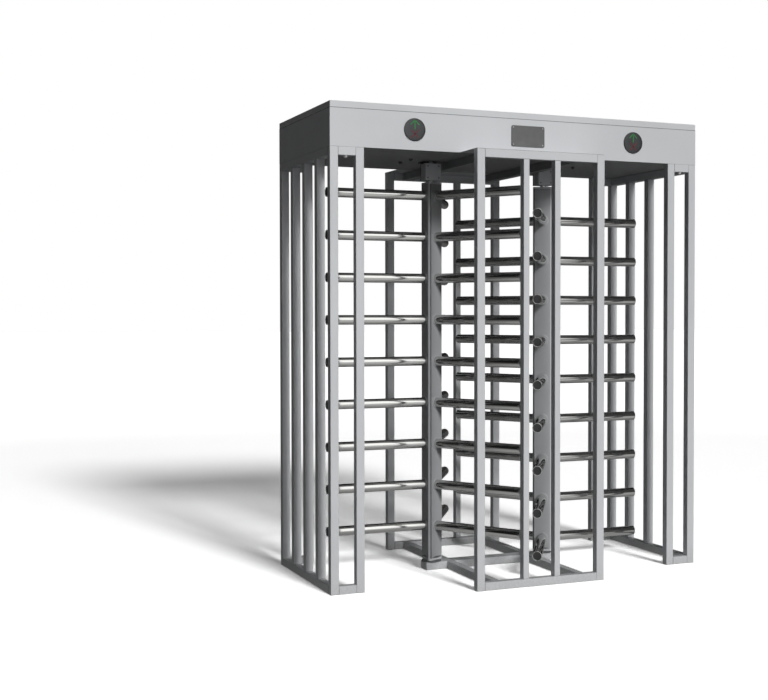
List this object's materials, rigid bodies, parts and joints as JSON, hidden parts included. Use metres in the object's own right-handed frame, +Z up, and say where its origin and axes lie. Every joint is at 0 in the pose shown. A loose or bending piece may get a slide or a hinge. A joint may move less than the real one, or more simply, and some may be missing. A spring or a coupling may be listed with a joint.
{
  "type": "full height turnstile",
  "caption": "Full height tandem turnstile: two barred rotors turn side by side between a centre cage and side frames under a header box.",
  "frame": {"origin": "centre of the footprint, on the floor", "axes": "+Z up, +X to the right as seen from the front, +Y from the front to the rear"},
  "size_m": [2, 1.24, 2.3],
  "materials": {
    "powder_coat": "light grey powder coat, fine satin texture",
    "arm_steel": "polished stainless steel tube",
    "dark_steel": "dark grey coated steel",
    "machined_steel": "turned and ground steel",
    "zinc_plate": "zinc plated steel",
    "lamp_lens": "dark gloss lens with a green arrow over a red cross",
    "black_plastic": "moulded black plastic",
    "name_panel": "grey bare plate"
  },
  "bodies": {
    "frame": {"front_fascia": "powder_coat", "rear_fascia": "powder_coat", "left_end_panel": "powder_coat", "right_end_panel": "powder_coat", "header_floor": "powder_coat", "header_lid": "powder_coat", "header_beams": "zinc_plate", "front_lamp_lenses": "lamp_lens", "rear_lamp_lenses": "lamp_lens", "front_lamp_housings": "black_plastic", "rear_lamp_housings": "black_plastic", "nameplate": "name_panel", "left_corner_posts": "powder_coat", "left_side_bars": "powder_coat", "left_side_rails": "powder_coat", "left_return_posts": "powder_coat", "left_return_rails": "powder_coat", "right_corner_posts": "powder_coat", "right_side_bars": "powder_coat", "right_side_rails": "powder_coat", "right_return_posts": "powder_coat", "right_return_rails": "powder_coat", "front_cage_posts": "powder_coat", "front_cage_bars": "powder_coat", "front_cage_rails": "powder_coat", "front_roof_plate": "powder_coat", "rear_cage_posts": "powder_coat", "rear_cage_bars": "powder_coat", "rear_cage_rails": "powder_coat", "rear_roof_plate": "powder_coat", "base_long_rails": "powder_coat", "top_long_rails": "powder_coat", "base_cross_member": "powder_coat", "left_foot": "powder_coat", "right_foot": "powder_coat", "bearing_housings": "powder_coat", "housing_covers": "powder_coat", "housing_hangers": "dark_steel", "upper_bearings": "machined_steel", "lower_pivots": "powder_coat", "mechanism_plates": "zinc_plate", "rotary_dampers": "dark_steel", "lock_solenoids": "zinc_plate", "controller_box": "black_plastic", "power_supply": "zinc_plate"},
    "left_rotor": {"left_column": "powder_coat", "left_column_caps": "powder_coat", "left_arms": "arm_steel", "left_end_plugs": "black_plastic", "left_shaft": "machined_steel", "left_index_disc": "machined_steel"},
    "left_bolt": {"left_lock_bolt": "machined_steel"},
    "right_rotor": {"right_column": "powder_coat", "right_column_caps": "powder_coat", "right_arms": "arm_steel", "right_end_plugs": "black_plastic", "right_shaft": "machined_steel", "right_index_disc": "machined_steel"},
    "right_bolt": {"right_lock_bolt": "machined_steel"}
  },
  "joints": [
    {"name": "left_rotor_spin", "type": "hinge", "parent": "frame", "child": "left_rotor", "pos_m": [-0.322, 0, 0.05], "axis": [0, 0, 1], "continuous": true},
    {"name": "left_bolt_slide", "type": "slide", "parent": "frame", "child": "left_bolt", "axis": [-1, 0, 0], "range_m": [0, 0.012], "stiffness_N_per_m": 150},
    {"name": "right_rotor_spin", "type": "hinge", "parent": "frame", "child": "right_rotor", "pos_m": [0.322, 0, 0.05], "axis": [0, 0, 1], "continuous": true},
    {"name": "right_bolt_slide", "type": "slide", "parent": "frame", "child": "right_bolt", "axis": [1, 0, 0], "range_m": [0, 0.012], "stiffness_N_per_m": 150}
  ]
}
